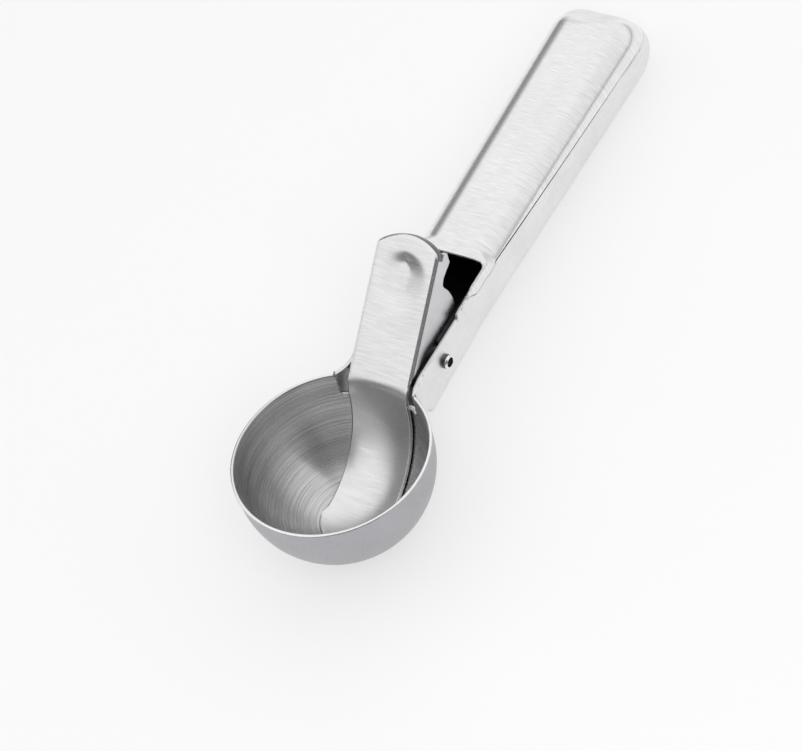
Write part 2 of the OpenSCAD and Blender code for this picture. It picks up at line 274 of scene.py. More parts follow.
def bowl_profile(s):
    """Middle of the bowl's wall at an angle s from the bottom, in degrees; past 90 it runs up the band in mm."""
    r = BALL_R - SHEET / 2
    if s <= 90:
        return r * math.sin(math.radians(s)), BALL_Z - r * math.cos(math.radians(s))
    up = (s - 90) / BAND_H
    return r + RIM_FLARE * up, BALL_Z + BAND_H * up


def bowl_point(turn, s):
    r, z = bowl_profile(s)
    return r * math.cos(math.radians(turn)), r * math.sin(math.radians(turn)), z


def bowl_keep(turn, s):
    x, y, z = bowl_point(turn, s)
    return max(-x, abs(y) - NOTCH_HALF, -NOTCH_DEPTH - z)


bowl_heights = spread(0, 90, 2) + spread(90.5, 90 + BAND_H, 0.6)
bowl = pressing("bowl_shell", spread(0, 360, 1.5), bowl_heights, bowl_keep, bowl_point, edge=0.4, far_side=1, rim=2)
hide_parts("bowl")
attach(bowl, "scoop_body")
print("bowl faces:", len(bowl.data.polygons))

# %% [markdown]
# ## The handle's skin
# Two pressings meet along a line on each side: a trough behind, whose sides run on as the cheeks of the neck,
# and a cover in front. Together they make one rounded tube, so both take their shape from one skin, and the
# seam between them closes by itself. A point on the skin is found by how far along the handle it is, and how
# far round.

# %% The handle's sections
NECK_PINCH = 1.0  # each cheek is this much closer to the middle at the bowl
NECK_DEEPENING = 1.8  # and its back this much lower
PINCH_RUN = 8  # length over which the neck narrows
CHEEK_FLARE = 1.6  # how far a cheek's tab spreads over the bowl's wall
FLARE_RUN = 6.5
GRIP_TAPER = 2.6  # the far end is this much wider than the neck
FRONT_RISE = 4.0  # the front above the rim, at the neck
FRONT_SLOPE = 1.3
BACK_DROP = 15.0  # the back below the rim
BACK_SLOPE = 0.3
GRIP_CORNER = 7.0
EDGE_CORNER = 1.6  # the front corner beside the window
CORNER_RUN = 4.5  # length over which it opens into the grip's
BACK_SHARPER = 3.7  # the back corner is this much sharper at the bowl
WINDOW_FAR = 40.2  # the window's far edge from the rim
END_ROUND = 10.5  # length over which the far end rounds in
END_FRONT, END_BACK, END_SIDE = 9.5, 4.5, 4.6  # how far its front, back and sides draw in

FLARE_FROM = BOWL_R + 3.5
NECK_FROM = BOWL_R + 10.5
COVER_FROM = BOWL_R + 28.6
SEAM_FROM = COVER_FROM + 4
GRIP_FROM = BOWL_R + 38.5
WINDOW_END = BOWL_R + WINDOW_FAR


def grip_share(x):
    """How far x is along the grip, 0 to 1."""
    return clamp01((x - GRIP_FROM) / (END_X - END_ROUND - GRIP_FROM))


def neck_share(x):
    """How far x is back along the neck, 0 at the seam to 1 at the bowl."""
    return clamp01((SEAM_FROM - x) / (SEAM_FROM - BOWL_R))


def pinch(x):
    """How far the neck has narrowed at x, 0 to 1."""
    return smooth((NECK_FROM - x) / PINCH_RUN)


def section_half(x):
    flare = CHEEK_FLARE * (max(0.0, FLARE_FROM - x) / FLARE_RUN) ** 2
    return NECK_HALF + flare - NECK_PINCH * pinch(x) + GRIP_TAPER / 2 * grip_share(x)


def section_top(x):
    return FRONT_RISE + FRONT_SLOPE * grip_share(x)


def section_bottom(x):
    return -BACK_DROP - NECK_DEEPENING * pinch(x) + BACK_SLOPE * grip_share(x)


def front_corner(x):
    """Sharp beside the window, and round on the grip."""
    return mix(EDGE_CORNER, GRIP_CORNER, smooth((x - WINDOW_END) / CORNER_RUN))


def back_corner(x):
    return GRIP_CORNER - BACK_SHARPER * neck_share(x)


print("grip, mm: from", round(2 * section_half(GRIP_FROM), 1), "to", round(2 * section_half(END_X), 1), "wide")

# %% [markdown]
# At the far end the skin first rounds in, as a pressed cap does, and then closes with a small flat face.

# %% A point on the skin
DOME_FROM = END_X - END_ROUND
DOME_R = END_ROUND - SHEET / 2
DOME_ARC = 14.0  # length of blank that the rounding takes


def along_handle(u):
    """(x, share drawn in, inset of the end face) at a length u: straight, round the end, across the end's face."""
    if u <= DOME_FROM:
        return u, 0.0, 0.0
    turn = min(1.0, (u - DOME_FROM) / DOME_ARC) * math.pi / 2
    return DOME_FROM + DOME_R * math.sin(turn), 1 - math.cos(turn), max(0.0, u - DOME_FROM - DOME_ARC)


def handle_point(u, t):
    """Middle of the handle's wall: |t| runs 0 front middle, 1-2 front corner, 3-4 back corner, 5 back middle."""
    x, share, past = along_handle(u)
    wall = SHEET / 2
    half = section_half(x) - wall - share * (END_SIDE - wall) - past
    top = section_top(x) - wall - share * (END_FRONT - wall) - past
    bottom = section_bottom(x) + wall + share * (END_BACK - wall) + past
    tight = min(half, (top - bottom) / 2)
    softened = wall + 0.3 * share * END_SIDE + past
    rf = min(tight, max(0.2, front_corner(x) - softened))
    rb = min(tight, max(0.2, back_corner(x) - softened))
    a = abs(t)
    if a <= 1:
        y, z = a * (half - rf), top
    elif a <= 2:
        turn = (a - 1) * math.pi / 2
        y, z = half - rf + rf * math.sin(turn), top - rf + rf * math.cos(turn)
    elif a <= 3:
        y, z = half, mix(top - rf, bottom + rb, a - 2)
    elif a <= 4:
        turn = (a - 3) * math.pi / 2
        y, z = half - rb + rb * math.cos(turn), bottom + rb - rb * math.sin(turn)
    else:
        y, z = (half - rb) * (5 - a), bottom
    return x, math.copysign(y, t), z


def both_sides(steps):
    """The steps and their mirror images, in order."""
    half = {round(s, 4) for s in steps}
    return sorted(half | {-s for s in half})


SECTION_STEPS = [0, 0.25, 0.5, 0.75] + spread(1, 2, 0.1) + spread(2.06, 2.94, 0.06) \
    + spread(3, 4, 0.1) + [4.25, 4.5, 4.75, 5]
FACE_HALF = (section_top(END_X) - section_bottom(END_X) - END_FRONT - END_BACK) / 2
DOME_STATIONS = [DOME_FROM + d for d in spread(0.5, DOME_ARC, 0.5)] \
    + [DOME_FROM + DOME_ARC + d for d in spread(0.5, FACE_HALF - 0.004, 0.5)]
print("steps round half a section:", len(SECTION_STEPS), "stations at the far end:", len(DOME_STATIONS))

# %% [markdown]
# ## The back of the handle
# Seen from the side its blank is a long strip with a step where the cover starts, and at the bowl it opens into
# two tabs that flare out and are welded to the bowl's wall. One outline in side view trims both sides at once.

# %% The trough's outline
CHEEK_RISE = 1.3  # the cheeks' edge above the rim
CHEEK_STEP = 0.9  # the step up to the window's side edge
STEP_FROM = BOWL_R + 22.5
STEP_Z = CHEEK_RISE + CHEEK_STEP
SEAM_DROP = 0.25  # the seam starts this far below the rim
SEAM_SLOPE = 0.021
SEAM_FAR = -SEAM_DROP - SEAM_SLOPE * (END_X - SEAM_FROM)


def edge_z(x):
    """Height of the window's side edge, which rises from the step in the cheeks to the handle's front."""
    return mix(STEP_Z, FRONT_RISE, (x - STEP_FROM) / (WINDOW_END - 1 - STEP_FROM))


cheek_edge = [(x, CHEEK_RISE - 1.5 * pinch(x)) for x in [BOWL_R + 0.8] + spread(BOWL_R + 2.5, NECK_FROM, 1)]
channel_side = [(BOWL_R - 9, -9.5), (BOWL_R - 9, 0), (BOWL_R - 2.5, 0.1)]
channel_side += cheek_edge
channel_side += [
    (STEP_FROM, CHEEK_RISE), (STEP_FROM + 0.3, STEP_Z), (COVER_FROM, edge_z(COVER_FROM)), (SEAM_FROM, -SEAM_DROP),
    (END_X + 5, SEAM_FAR), (END_X + 5, -40), (BOWL_R + 3.5, -40), (BOWL_R + 3.4, -16.4),
    (BOWL_R + 2.8, -14.2), (BOWL_R + 1.6, -12.3), (BOWL_R - 0.6, -11.0)]
print("corners in the trough's outline:", len(channel_side))


# %% The trough and its cheeks
def outside_bowl(x, y, z):
    """How far a point is out of the bowl's middle surface, with the room above the bowl left open too."""
    flat = math.hypot(x, y)
    from_ball = math.hypot(flat, z - BALL_Z) - (BALL_R - SHEET / 2)
    from_band = flat - (BALL_R - SHEET / 2 + RIM_FLARE * clamp01((z - BALL_Z) / BAND_H))
    return from_ball if z < BALL_Z else from_band


def channel_point(u, t):
    """As handle_point, but t counts from the middle of the back, so that the blank is in one piece."""
    return handle_point(u, 5 - abs(t) if t >= 0 else abs(t) - 5)


def channel_keep(u, t):
    x, y, z = channel_point(u, t)
    return min(outline_distance(channel_side, x, z), outside_bowl(x, y, z))


def channel_finish(u, t):
    """2 the tabs at the weld, whose inside is painted light where the notch lets it in, 4 the cheek whose inside
    the light reaches, painted light too, 0 the rest.
    """
    if u < BOWL_R + 8:
        return 2
    return 4 if t < 0 and u < WINDOW_END else 0


channel_stations = spread(BOWL_R - 9.6, BOWL_R + 6, 0.45) + spread(BOWL_R + 6.7, STEP_FROM - 0.8, 0.8) \
    + spread(STEP_FROM - 0.4, STEP_FROM + 0.8, 0.2) + spread(STEP_FROM + 1.4, SEAM_FROM + 1, 0.3) \
    + spread(SEAM_FROM + 2, WINDOW_END + 7, 0.8) + spread(WINDOW_END + 9, DOME_FROM, 3) + DOME_STATIONS
channel = pressing("handle_trough", channel_stations, both_sides(5 - s for s in SECTION_STEPS), channel_keep,
                   channel_point, far_side=1, finish=channel_finish)
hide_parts("handle_channel")
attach(channel, "scoop_body")
print("trough faces:", len(channel.data.polygons))

# %% [markdown]
# ## The front of the handle
# The cover is a shell from the same skin, so it needs only its own outline. Its blank has a square window with
# rounded corners, which leaves two short legs beside the lever. The seam is drawn a little open, so that it
# shows as the fine dark line that it is on the real handle.

# %% The cover and its window
SEAM_GAP = 0.25
WINDOW_CORNER = 1.8
WINDOW_HALF = NECK_HALF - 0.9
cover_side = [(COVER_FROM, edge_z(COVER_FROM)), (SEAM_FROM, SEAM_GAP - SEAM_DROP),
              (END_X + 5, SEAM_GAP + SEAM_FAR), (END_X + 5, edge_z(END_X + 5))]


def window_distance(x, y):
    """Positive inside the window."""
    r = WINDOW_CORNER
    dx, dy = x - (WINDOW_END - r), abs(y) - (WINDOW_HALF - r)
    return r - (math.hypot(max(dx, 0), max(dy, 0)) + min(max(dx, dy), 0))


def cover_keep(u, t):
    x, y, z = handle_point(u, t)
    return min(outline_distance(cover_side, x, z), -window_distance(x, y))


cover_stations = spread(COVER_FROM - 1, WINDOW_END + 1, 0.3) + spread(WINDOW_END + 1.5, WINDOW_END + 7, 0.6) \
    + spread(WINDOW_END + 9, DOME_FROM, 3) + DOME_STATIONS
cover = pressing("handle_cover_shell", cover_stations, both_sides(s for s in SECTION_STEPS if s < 3.2), cover_keep,
                 handle_point, far_side=1, rim=2)
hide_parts("handle_cover")
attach(cover, "scoop_body")
print("cover faces:", len(cover.data.polygons))

# %% [markdown]
# ## The lever
# Thumb pad, side flanges, turned-down tip and blade are one pressing. Its blank is a long strip: s runs from
# the blade's nose to the pad's tip, v across. The strip follows the bowl, bends over the notch and rises as the
# pad; past the fold lines the sheet turns down. Bending one blank keeps the folds as even as a press brake
# does, where four joined pieces would show their joints.

# %% The lever's middle line
PAD_LENGTH = 39.6
PAD_ANGLE = 39.0  # degrees above the rim
BEND_R = 3.5  # bend over the notch
NOSE_R = 10.1
BLADE_GAP = 0.35  # between blade and bowl
BLADE_R = BALL_R - SHEET - BLADE_GAP - SHEET / 2
NOSE_ANGLE = -90 - math.degrees(math.asin(NOSE_R / BLADE_R))
BLADE_LENGTH = math.radians(-NOSE_ANGLE) * BLADE_R
BEND_LENGTH = math.radians(90 - PAD_ANGLE) * BEND_R
PAD_FROM = BLADE_LENGTH + BEND_LENGTH
pad_dir = (math.cos(math.radians(PAD_ANGLE)), math.sin(math.radians(PAD_ANGLE)))
pad_start = (BLADE_R + BEND_R * (1 - pad_dir[1]), BALL_Z + BEND_R * pad_dir[0])


def lever_line(s):
    """(x, z, direction in degrees) of the strip's middle."""
    if s < BLADE_LENGTH:
        a = math.radians(NOSE_ANGLE) + s / BLADE_R
        return BLADE_R * math.cos(a), BALL_Z + BLADE_R * math.sin(a), math.degrees(a) + 90
    if s < PAD_FROM:
        d = math.pi / 2 - (s - BLADE_LENGTH) / BEND_R
        return BLADE_R + BEND_R * (1 - math.sin(d)), BALL_Z + BEND_R * math.cos(d), math.degrees(d)
    t = s - PAD_FROM
    return pad_start[0] + t * pad_dir[0], pad_start[1] + t * pad_dir[1], PAD_ANGLE


print("lever strip, mm: blade", round(BLADE_LENGTH, 1), "bend", round(BEND_LENGTH, 1), "pad", PAD_LENGTH)

# %% [markdown]
# The blank's outline has three parts: the blade with its round nose, the flanges with their lobes, and the tip
# with a short lip. The flange's lower edge is given along the pad and below it.

# %% The fold lines
FOLD_R = 0.52
FOLD_ARC = FOLD_R * math.pi / 2  # blank that a square fold takes
FOLD_AT = PAD_HALF - SHEET / 2 - FOLD_R  # fold line beside the pad's flat
TIP_FLAT_R = 13.2  # fold line round the tip
TIP_CENTRE = PAD_FROM + PAD_LENGTH - SHEET / 2 - FOLD_R - TIP_FLAT_R
TIP_BLEND = 1.4  # the two fold lines meet in a round corner
CORE_HALF = FOLD_AT - TIP_BLEND
CORE_R = TIP_FLAT_R - TIP_BLEND
CORE_CORNER = TIP_CENTRE + math.sqrt(CORE_R ** 2 - CORE_HALF ** 2)


def past_fold(s, a):
    """(nearest point of the pad's core, direction away from it, reach past the fold line)."""
    if s <= CORE_CORNER and a > CORE_HALF:
        near = (s, CORE_HALF)
    else:
        r = math.hypot(s - TIP_CENTRE, a)
        if s <= TIP_CENTRE or r <= CORE_R:
            return (s, a), (0.0, 0.0), -1.0
        near = (TIP_CENTRE + (s - TIP_CENTRE) * CORE_R / r, a * CORE_R / r)
        if near[1] > CORE_HALF:
            near = (CORE_CORNER, CORE_HALF)
    away = (s - near[0], a - near[1])
    far = math.hypot(*away)
    if far < 1e-6:
        return near, (0.0, 0.0), -1.0
    return near, (away[0] / far, away[1] / far), far - TIP_BLEND


def blank_reach(depth):
    """How far past the fold line the blank goes to reach a depth."""
    if depth >= FOLD_R:
        return FOLD_ARC + depth - FOLD_R
    return FOLD_R * math.acos(1 - max(depth, 0.0) / FOLD_R)


print("fold lines, mm apart:", round(2 * FOLD_AT, 2))

# %% The lever's outline
LIP_DEPTH = 2.7
NOSE_BACK = 2.2  # the nose's arc ends this far behind the bowl's middle
NOSE_SHOULDER = 2.7  # length over which the blade then widens
flange_edge = [(-3.0, 0.0), (2.4, 0.5), (21.0, 13.3), (22.1, 14.2), (23.3, 14.2), (24.7, 12.9), (25.9, 11.3),
               (26.9, 9.3), (27.4, 7.5), (27.7, 6.2), (28.5, 5.5), (30.1, 5.2), (31.7, 5.7), (32.8, 6.0),
               (32.9, LIP_DEPTH), (60.0, LIP_DEPTH)]


def flange_depth(t):
    """Depth of the side flange below the pad's middle surface, at t along the pad; negative where it has none."""
    for (a, da), (b, db) in zip(flange_edge, flange_edge[1:]):
        if a <= t <= b:
            return mix(da, db, (t - a) / (b - a))
    return -9.0


def blade_half(s):
    x = lever_line(s)[0]
    if x < -NOSE_BACK:
        return math.sqrt(max(0.0, NOSE_R ** 2 - x * x))
    return mix(NOSE_R - 0.22, BLADE_HALF, clamp01((x + NOSE_BACK) / NOSE_SHOULDER))


def lever_keep(s, v):
    a = abs(v)
    t = s - PAD_FROM
    if t < 0:
        return min(blade_half(s) - a, 2 * s + 0.2)
    near, _, reach = past_fold(s, a)
    side = blank_reach(flange_depth(near[0] - PAD_FROM))
    if t < 3:  # the strip keeps the blade's width through the bend
        side = max(side, BLADE_HALF - FOLD_AT)
    return side - reach


print("deepest flange, mm:", max(depth for _, depth in flange_edge))

# %% [markdown]
# A point of the blank is bent in three steps: the blade is dished to the bowl, the thumb's dimple is pressed
# into the pad, and what lies past a fold line turns down round the fold.

# %% The lever, bent
DIMPLE_DEPTH = 1.0
DIMPLE_AT = PAD_LENGTH - 11.2
DIMPLE_TO_TIP, DIMPLE_TO_BEND, DIMPLE_HALF = 7.0, 13.0, 8.3
DIMPLE_FADE = 9.0
DISH_RUN = 2.8  # the blade's dish starts to flatten this far before the bend
FLANGE_BEFORE = 1.5  # the flanges start to turn down this far before the pad
FLANGE_RUN = 5.0  # and stand square after this length


def dimple(t, y):
    """Depth of the thumb's dimple: steep towards the tip, with a long fade towards the bend."""
    along = t - DIMPLE_AT
    r = math.hypot(along / (DIMPLE_TO_TIP if along > 0 else DIMPLE_TO_BEND), y / DIMPLE_HALF)
    if r >= 1:
        return 0.0
    wall = 0.5 + 0.4 * clamp01(abs(y) / DIMPLE_HALF / r if r > 0 else 0)
    fade = 1 if along > 0 else smooth((along + DIMPLE_TO_BEND) / DIMPLE_FADE)
    return DIMPLE_DEPTH * smooth((1 - r) / wall) * fade


def fold(reach, degrees):
    """(out, down) after a fold, at a reach past the fold line."""
    bent = math.radians(degrees)
    arc = FOLD_R * bent
    a = min(reach, arc) / FOLD_R
    rest = max(0.0, reach - arc)
    return FOLD_R * math.sin(a) + rest * math.cos(bent), FOLD_R * (1 - math.cos(a)) + rest * math.sin(bent)


def lever_point(s, v):
    t = s - PAD_FROM
    y, down, ahead = abs(v), 0.0, s
    near, away, reach = past_fold(s, y)
    if reach > 0 and t > -FLANGE_BEFORE:
        out, down = fold(reach, 90 * smooth((t + FLANGE_BEFORE) / FLANGE_RUN))
        ahead, y = near[0] + away[0] * (TIP_BLEND + out), near[1] + away[1] * (TIP_BLEND + out)
    x, z, d = lever_line(ahead)
    dished = 1 - smooth((ahead - BLADE_LENGTH + DISH_RUN) / (DISH_RUN + BEND_LENGTH))
    up = -down
    if dished > 0:
        up += dished * (BLADE_R - math.sqrt(max(0.0, BLADE_R ** 2 - y * y)))
    if t > 0:
        up -= dimple(ahead - PAD_FROM, y)
    d = math.radians(d)
    return x - math.sin(d) * up, math.copysign(y, v), z + math.cos(d) * up


def lever_finish(s, v):
    """0 the blade, 1 the flat flanges, 2 the pad with its folds and the tip's lip."""
    near, _, reach = past_fold(s, abs(v))
    if s < PAD_FROM:
        return 0
    return 1 if reach > FOLD_ARC and near[0] < CORE_CORNER - 0.2 else 2


# %% The lever, made
half_across = spread(0, FOLD_AT, 0.55) + spread(FOLD_AT + 0.16, FOLD_AT + FOLD_ARC, 0.2) \
    + spread(FOLD_AT + FOLD_ARC + 0.5, FOLD_AT + blank_reach(14.8), 0.55)
across = [-v for v in reversed(half_across[1:])] + half_across
lever_stations = spread(0, 6, 0.3) + spread(6.5, BLADE_LENGTH, 0.8) + spread(BLADE_LENGTH + 0.4, PAD_FROM, 0.4) \
    + spread(PAD_FROM + 0.5, PAD_FROM + 21, 0.55) + spread(PAD_FROM + 21.3, PAD_FROM + PAD_LENGTH + 3, 0.3)
lever = pressing("thumb_lever_sheet", lever_stations, across, lever_keep, lever_point, edge=0.25, rim=3,
                 finish=lever_finish)
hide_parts("thumb_lever")
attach(lever, "lever")
print("lever faces:", len(lever.data.polygons))

# %% [markdown]
# ## The lever's ears and tabs
# Two ears stand inside the flanges and turn on the pin, and a small tab ends each flange by the tip. They are
# flat pieces of the same sheet, so the same function makes them, from an outline in side view and no bend.

# %% The ears and tabs
PIN_R = 2.0
EAR_OUTER = NECK_HALF - SHEET - 2.4
EAR_R = 4.2
PIN_CLEARANCE = 0.05
TAB_PROUD = 0.012  # a tab is this much thicker than the sheet, so that the two faces don't flicker


def on_pad(t, below):
    """(x, z) at t along the pad and some depth below it."""
    return pad_start[0] + t * pad_dir[0] + below * pad_dir[1], pad_start[1] + t * pad_dir[1] - below * pad_dir[0]


tab_side = [(31.2, 2.4), (36.6, 2.4), (36.9, 4.0), (34.6, 6.4), (33.5, 6.2), (31.2, 5.3)]
ear_side = [on_pad(4.5, 0.3), on_pad(16, 0.3), on_pad(15.5, 5)]
ear_side += [(PIVOT[0] + EAR_R, PIVOT[1]), (PIVOT[0] - EAR_R, PIVOT[1])]


def ear_keep(x, z):
    """Inside the ear's sides or its round end, and outside the pin."""
    ring = EAR_R - math.hypot(x - PIVOT[0], z - PIVOT[1])
    return min(max(outline_distance(ear_side, x, z), ring), -ring - PIN_CLEARANCE + EAR_R - PIN_R)


def tab_keep(t, below):
    return outline_distance(tab_side, t, below)


def tab_point(t, below, y):
    x, z = on_pad(t, below)
    return x, y, z


ear_xs = spread(PIVOT[0] - 12, PIVOT[0] + 12, 0.6)
ear_zs = spread(PIVOT[1] - 5, 16, 0.6)
for side, word in ((-1, "right"), (1, "left")):
    y_ear = side * (EAR_OUTER - SHEET / 2)
    y_tab = side * (PAD_HALF - SHEET / 2)
    ear = pressing("lever_ear_" + word, ear_xs, ear_zs, ear_keep, lambda x, z: (x, y_ear, z), edge=0.2)
    tab = pressing("lever_tab_" + word, spread(31, 37.4, 0.4), spread(2, 6.8, 0.4), tab_keep,
                   lambda t, below: tab_point(t, below, y_tab), thick=SHEET + TAB_PROUD, edge=0.15)
    for piece in (ear, tab):
        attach(piece, "lever")
        print(piece.name, "faces:", len(piece.data.polygons))

# %% [markdown]
# ## The pivot
# A hollow pin goes through both cheeks and is rolled at its ends. It could be a tube with a bevel, but the
# rolled end is rounder outside than towards the bore, so it is lathed: a profile turned about its axis.

# %% A turned piece
PIN_BORE_R = 1.3
PIN_PROUD = 1.6
PIN_HALF = NECK_HALF + PIN_PROUD
SHOULDER, MOUTH = 0.75, 0.3  # the rolled end: a wide round outside, a small one into the bore
GLINT_END = 0.7  # length of the rolled end that takes the bright edge colour: a painted highlight


def pin_finish(y, r):
    """1 the rolled ends, with a painted highlight, 0 the rest and the bore."""
    return 1 if abs(y) > PIN_HALF - GLINT_END and r > PIN_BORE_R + 0.1 else 0


def tube_faces(rings, sides, closed):
    """Faces between neighbouring rings of points; a closed tube joins its last ring to its first."""
    return [(i * sides + j, i * sides + (j + 1) % sides, (i + 1) % rings * sides + (j + 1) % sides,
             (i + 1) % rings * sides + j) for i in range(rings if closed else rings - 1) for j in range(sides)]


def lathed(name, profile, finish, turns=64):
    """profile is a closed list of (y, r) in mm, turned about the pivot's axis."""
    points = []
    for i in range(turns):
        a = 2 * math.pi * i / turns
        points += [at_rest((PIVOT[0] + r * math.cos(a), y, PIVOT[1] + r * math.sin(a))) for y, r in profile]
    faces = tube_faces(turns, len(profile), closed=True)
    return new_object(name, points, faces, weld=1e-7, finishes=[finish(y, r) for y, r in profile] * turns)


def round_off(y, r, size, degrees):
    """Points on a round of some size about (y, r)."""
    return [(y + size * math.cos(math.radians(a)), r + size * math.sin(math.radians(a))) for a in degrees]


# %% The pin
pin_end = round_off(PIN_HALF - MOUTH, PIN_BORE_R + MOUTH, MOUTH, range(-90, 1, 15)) \
    + round_off(PIN_HALF - SHOULDER, PIN_R - SHOULDER, SHOULDER, range(30, 91, 10))
pin = lathed("pivot_tube", pin_end + [(-y, r) for y, r in reversed(pin_end)], pin_finish)
pin.modifiers.new("flats", "WEIGHTED_NORMAL")
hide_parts("pivot_pin")
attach(pin, "scoop_body")
print("pin, mm:", round(2 * PIN_HALF, 1), "long,", 2 * PIN_R, "across, bore", 2 * PIN_BORE_R)

# %% [markdown]
# ## The spring
# A torsion spring of one-millimetre wire sits round the pin. Its legs press on the pad and on the trough. A
# curve with a bevel could make it; a tube swept along the helix in mesh code gives the wire its real section
# and closed ends. One leg turns with the lever and the other stays; the wire is fixed where it lies and joins
# neither body.

# %% A swept wire
def swept(name, path, radius, sides=12):
    """A round wire along a path, with flat ends."""
    points = []
    for i, p in enumerate(path):
        along = (path[min(len(path) - 1, i + 1)] - path[max(0, i - 1)]).normalized()
        side = along.cross(Vector((0, 1, 0))).normalized()
        up = side.cross(along)
        points += [at_rest(p + radius * (math.cos(a) * side + math.sin(a) * up))
                   for a in [2 * math.pi * k / sides for k in range(sides)]]
    faces = tube_faces(len(path), sides, closed=False)
    faces += [tuple(range(sides)), tuple(len(points) - sides + j for j in range(sides))]
    return new_object(name, points, faces, weld=1e-7)


def slanted(degrees):
    """A unit step in side view, at an angle above the rim."""
    return Vector((math.cos(math.radians(degrees)), 0, math.sin(math.radians(degrees))))


# %% The spring
WIRE_R = 0.5
BUSH_R = PIN_R + 0.05 + 0.7  # clearance and wall of the bush
COIL_R = BUSH_R + 0.3 + WIRE_R
SPRING_TURNS = 7
COIL_HALF = SPRING_TURNS * 1.3 * WIRE_R  # the turns lie 2.6 wire radii apart
COIL_STEP = 9  # degrees between rings of the wire
UP_ANGLE, DOWN_ANGLE = 74, -45  # the legs' directions
LEG_GAP = WIRE_R + 0.3  # each leg ends just short of its sheet
DIMPLE_ROOM = 0.66  # and the upper one also clears the dimple

coil_start = UP_ANGLE - 90
coil_turn = 360 * SPRING_TURNS + coil_start - 90 - DOWN_ANGLE
coil_count = round(coil_turn / COIL_STEP)
coil = []
for i in range(coil_count + 1):
    a = math.radians(coil_start - coil_turn * i / coil_count)
    coil.append(Vector((PIVOT[0] + COIL_R * math.cos(a), mix(-COIL_HALF, COIL_HALF, i / coil_count),
                        PIVOT[1] + COIL_R * math.sin(a))))
first, last = coil[0], coil[-1]
under_pad = (first.x - pad_start[0]) * pad_dir[1] - (first.z - pad_start[1]) * pad_dir[0]
leg_up = (under_pad - SHEET / 2 - LEG_GAP - DIMPLE_ROOM) / math.sin(math.radians(UP_ANGLE - PAD_ANGLE))
leg_down = (last.z + BACK_DROP - SHEET - LEG_GAP) / math.sin(math.radians(-DOWN_ANGLE))
wire_path = [first + slanted(UP_ANGLE) * leg_up] + coil + [last + slanted(DOWN_ANGLE) * leg_down]
spring = swept("spring_wire", wire_path, WIRE_R)
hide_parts("torsion_spring")
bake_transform(spring)
print("spring legs, mm:", round(leg_up, 1), "up and", round(leg_down, 1), "down")

# %% [markdown]
# ## Colours and nodes
# Colours are written as a paint shop would, in hex, and one function turns them to the linear values that the
# renderer works in. Another adds a node with its settings and links, so that a material reads from top to
# bottom.

# %% Colour and node helpers
def linear(hex_colour):
    """An sRGB hex colour as linear RGBA."""
    rgb = [int(hex_colour[i:i + 2], 16) / 255 for i in (1, 3, 5)]
    return [c / 12.92 if c <= 0.04045 else ((c + 0.055) / 1.055) ** 2.4 for c in rgb] + [1.0]


def add_node(tree, kind, settings=None, **links):
    """Adds a shader node; links are input name, or _ and its number, = value or output socket."""
    node = tree.nodes.new("ShaderNode" + kind)
    for key, value in (settings or {}).items():
        setattr(node, key, value)
    for key, value in links.items():
        socket = node.inputs[int(key[1:]) if key[0] == "_" else key.replace("_", " ")]
        if isinstance(value, bpy.types.NodeSocket):
            tree.links.new(value, socket)
        else:
            socket.default_value = value
    return node


print("mid grey, linear:", round(linear("#808080")[0], 3))

# %% [markdown]
# ## Where a brush stroke lies
# Strokes run along or across the handle, not along the table, so their pattern is placed in the scoop's own
# frame, in millimetres. Inside the bowl they run round its axis instead, as the lathe tool did. No unwrapping
# is needed.

# %% Places for the patterns
def scoop_place(tree):
    """A surface point in the scoop's own frame, in mm."""
    point = add_node(tree, "TexCoord").outputs["Object"]
    shifted = add_node(tree, "Mapping", Vector=point, Location=[-c / 1000 for c in REST_SHIFT])
    return add_node(tree, "Mapping", Vector=shifted.outputs[0], Rotation=(0, -REST_TILT, 0),
                    Scale=(1000, 1000, 1000)).outputs[0]


def ring_place(tree):
    """The way round the bowl's axis, the distance from it, and the height."""
    parts = add_node(tree, "SeparateXYZ", Vector=scoop_place(tree)).outputs
    way = add_node(tree, "Math", {"operation": "ARCTAN2"}, _0=parts[1], _1=parts[0])
    flat = add_node(tree, "CombineXYZ", X=parts[0], Y=parts[1])
    radius = add_node(tree, "VectorMath", {"operation": "LENGTH"}, _0=flat.outputs[0])
    return add_node(tree, "CombineXYZ", X=way.outputs[0], Y=radius.outputs["Value"], Z=parts[2]).outputs[0]


# %% [markdown]
# ## Stainless steel
# Steel has no colour of its own but what it mirrors, so its look is in how it was finished. A brush leaves
# strokes: fine streaks of lighter and darker metal, a little rougher where darker, that blur a reflection at
# right angles to them. Noise stretched to the size of a stroke gives all three, and one broad noise the slow
# change over a sheet. Real strokes are about 0.05 mm wide. They are drawn 0.2 mm wide and more, as coarse as
# they need to be to show.

# %% A steel for every finish
NOISE_LOW, NOISE_HIGH = 0.33, 0.67  # most of a noise lies between these
CLOUD_SCALE, RING_CLOUD_SCALE = 0.09, 0.5  # one cloud every 11 mm or so, or every 2 mm from the bowl's axis
SOFT_EDGE = {"interpolation_type": "SMOOTHSTEP"}
GROOVE, DEEPEST = 0.0003, 0.13  # metres of groove for a black stroke; darker than this is stain, not depth


